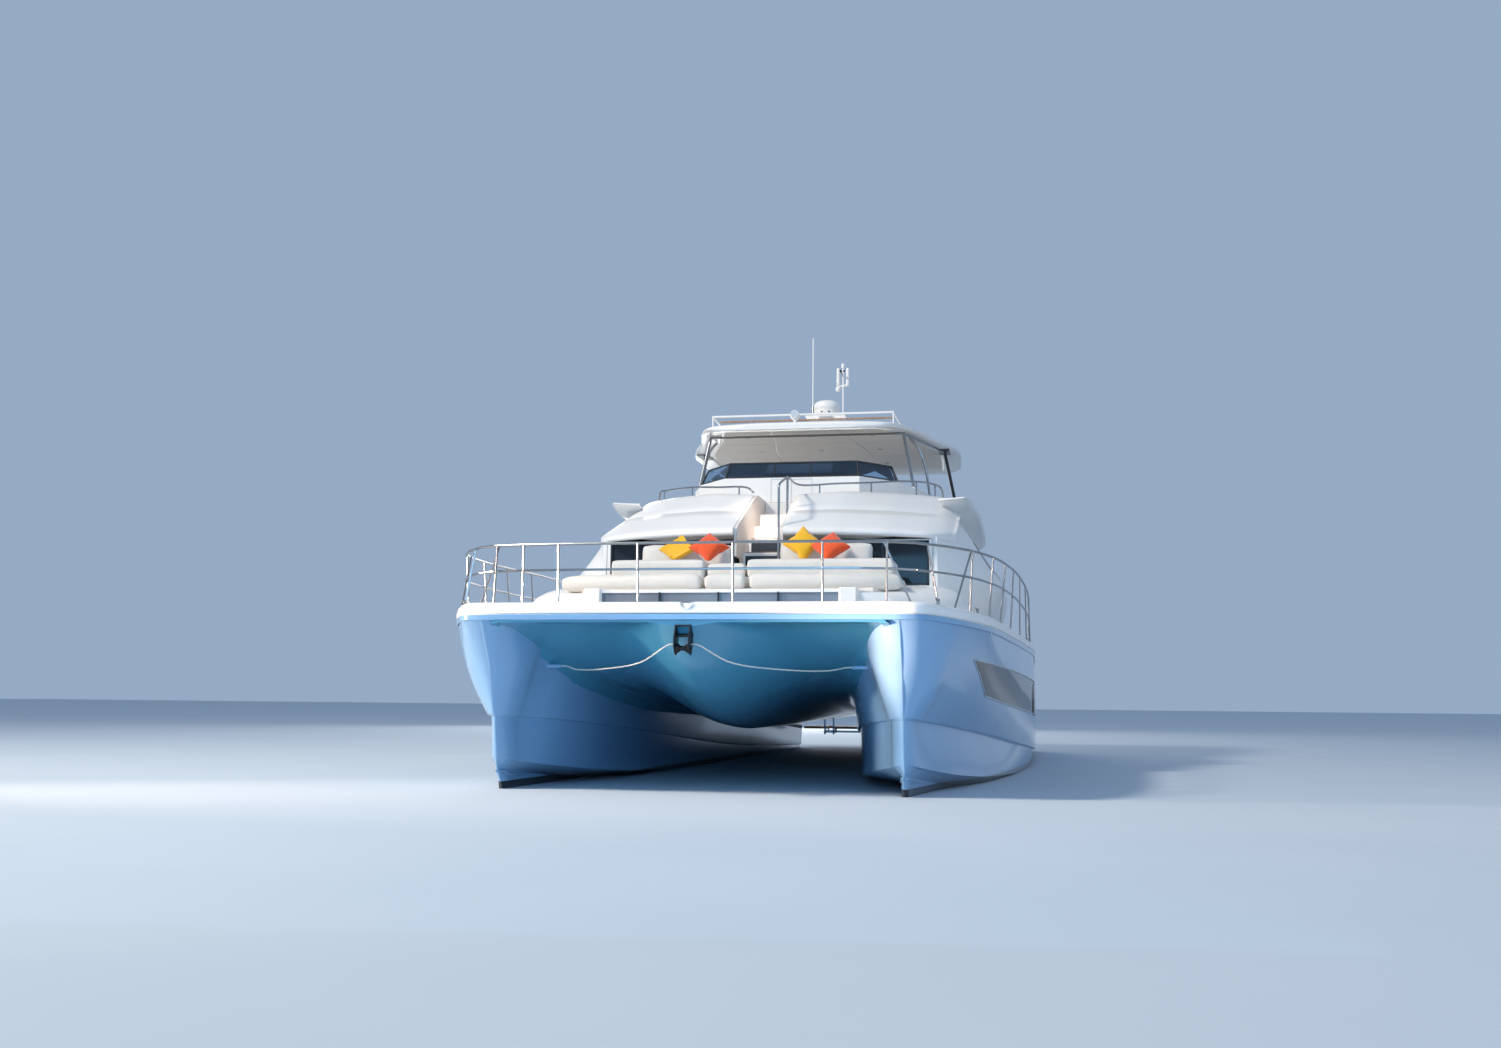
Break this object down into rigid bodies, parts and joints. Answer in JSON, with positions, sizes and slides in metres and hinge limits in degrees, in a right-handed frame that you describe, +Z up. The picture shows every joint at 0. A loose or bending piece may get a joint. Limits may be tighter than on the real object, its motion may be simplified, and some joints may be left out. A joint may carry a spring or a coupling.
{
  "type": "power catamaran",
  "caption": "Power catamaran afloat: two hulls, foredeck lounge, saloon with brows, flybridge under a hardtop, rails, swim platform, rudders and propellers.",
  "frame": {"origin": "centre of the waterplane, on the waterline amidships", "axes": "+Z up, the bow faces -Y, the port side is +X"},
  "size_m": [7.68, 17.08, 9.1443],
  "materials": {
    "hull_gelcoat": "glossy moulded gelcoat",
    "deck_gelcoat": "semi-gloss moulded gelcoat",
    "dark_glass": "tinted, reflective",
    "stainless": "polished",
    "bronze": "cast, dull",
    "black_plastic": "matte",
    "upholstery": "marine vinyl, stitched",
    "yellow_cloth": "woven canvas",
    "orange_cloth": "woven canvas",
    "rope": "laid rope",
    "engine_iron": "painted casting"
  },
  "bodies": {
    "boat": {"hull_port": "hull_gelcoat", "hull_starboard": "hull_gelcoat", "hull_glass_port": "dark_glass", "hull_glass_starboard": "dark_glass", "engine_port": "engine_iron", "engine_starboard": "engine_iron", "bridgedeck": "hull_gelcoat", "main_deck": "deck_gelcoat", "bulwark": "deck_gelcoat", "trunk_cabin": "deck_gelcoat", "trunk_window": "dark_glass", "lounge_base": "deck_gelcoat", "sun_pad": "upholstery", "seat_pad_port": "upholstery", "seat_pad_starboard": "upholstery", "back_pad_port": "upholstery", "back_pad_starboard": "upholstery", "pillow_yellow_port": "yellow_cloth", "pillow_orange_port": "orange_cloth", "pillow_orange_starboard": "orange_cloth", "pillow_yellow_starboard": "yellow_cloth", "saloon_front": "deck_gelcoat", "front_glass_port": "dark_glass", "front_glass_starboard": "dark_glass", "saloon_side_port": "deck_gelcoat", "saloon_side_starboard": "deck_gelcoat", "side_glass_port": "dark_glass", "side_glass_starboard": "dark_glass", "saloon_aft": "deck_gelcoat", "fly_deck": "deck_gelcoat", "brow_port": "deck_gelcoat", "brow_starboard": "deck_gelcoat", "stair": "deck_gelcoat", "fly_coaming": "deck_gelcoat", "fly_windscreen": "dark_glass", "hardtop": "deck_gelcoat", "hardtop_frame": "stainless", "roof_rack": "stainless", "radar_mast": "deck_gelcoat", "radar_dome": "deck_gelcoat", "helm_console": "deck_gelcoat", "helm_seat": "upholstery", "fly_sofa": "upholstery", "cockpit_sofa": "upholstery", "anchor_roller": "stainless", "bridle_port": "rope", "bridle_starboard": "rope", "bow_rail": "stainless", "side_rail_port": "stainless", "side_rail_starboard": "stainless"},
    "propeller_port": {"propeller_port": "bronze"},
    "propeller_starboard": {"propeller_starboard": "bronze"},
    "rudder_port": {"rudder_port": "bronze"},
    "rudder_starboard": {"rudder_starboard": "bronze"},
    "helm_wheel": {"helm_wheel": "black_plastic"},
    "saloon_door": {"saloon_door": "dark_glass"},
    "platform_arms": {"platform_arms": "stainless"},
    "swim_platform": {"swim_platform": "deck_gelcoat"},
    "locker_lid": {"locker_lid": "deck_gelcoat"}
  },
  "joints": [
    {"name": "propeller_port_spin", "type": "hinge", "parent": "boat", "child": "propeller_port", "pos_m": [2.29, 6.35, -0.86], "axis": [0, 1, 0], "continuous": true},
    {"name": "propeller_starboard_spin", "type": "hinge", "parent": "boat", "child": "propeller_starboard", "pos_m": [-2.29, 6.35, -0.86], "axis": [0, 1, 0], "continuous": true},
    {"name": "rudder_port_turn", "type": "hinge", "parent": "boat", "child": "rudder_port", "pos_m": [2.29, 7.05, -0.7], "axis": [0, 0, 1], "range_deg": [-35, 35]},
    {"name": "rudder_starboard_turn", "type": "hinge", "parent": "boat", "child": "rudder_starboard", "pos_m": [-2.29, 7.05, -0.7], "axis": [0, 0, 1], "range_deg": [-35, 35]},
    {"name": "helm_wheel_turn", "type": "hinge", "parent": "boat", "child": "helm_wheel", "pos_m": [0.06, -0.26, 4.68], "axis": [0, 1, 0], "range_deg": [-420, 420]},
    {"name": "saloon_door_slide", "type": "slide", "parent": "boat", "child": "saloon_door", "axis": [1, 0, 0], "range_m": [0, 0.84]},
    {"name": "platform_lower", "type": "hinge", "parent": "boat", "child": "platform_arms", "pos_m": [0, 7.8, 0.35], "axis": [-1, 0, 0], "range_deg": [0, 40]},
    {"name": "platform_level", "type": "hinge", "parent": "platform_arms", "child": "swim_platform", "pos_m": [0, 8.22, 0.35], "axis": [-1, 0, 0], "range_deg": [-40, 0]},
    {"name": "locker_lid_hinge", "type": "hinge", "parent": "boat", "child": "locker_lid", "pos_m": [0, -7.15, 1.98661], "axis": [-1, 0, 0], "range_deg": [0, 95]}
  ],
  "couplings": [
    {"joint": "rudder_starboard_turn", "follows": "rudder_port_turn", "ratio": 1},
    {"joint": "helm_wheel_turn", "follows": "rudder_port_turn", "ratio": 12},
    {"joint": "platform_level", "follows": "platform_lower", "ratio": -1}
  ]
}
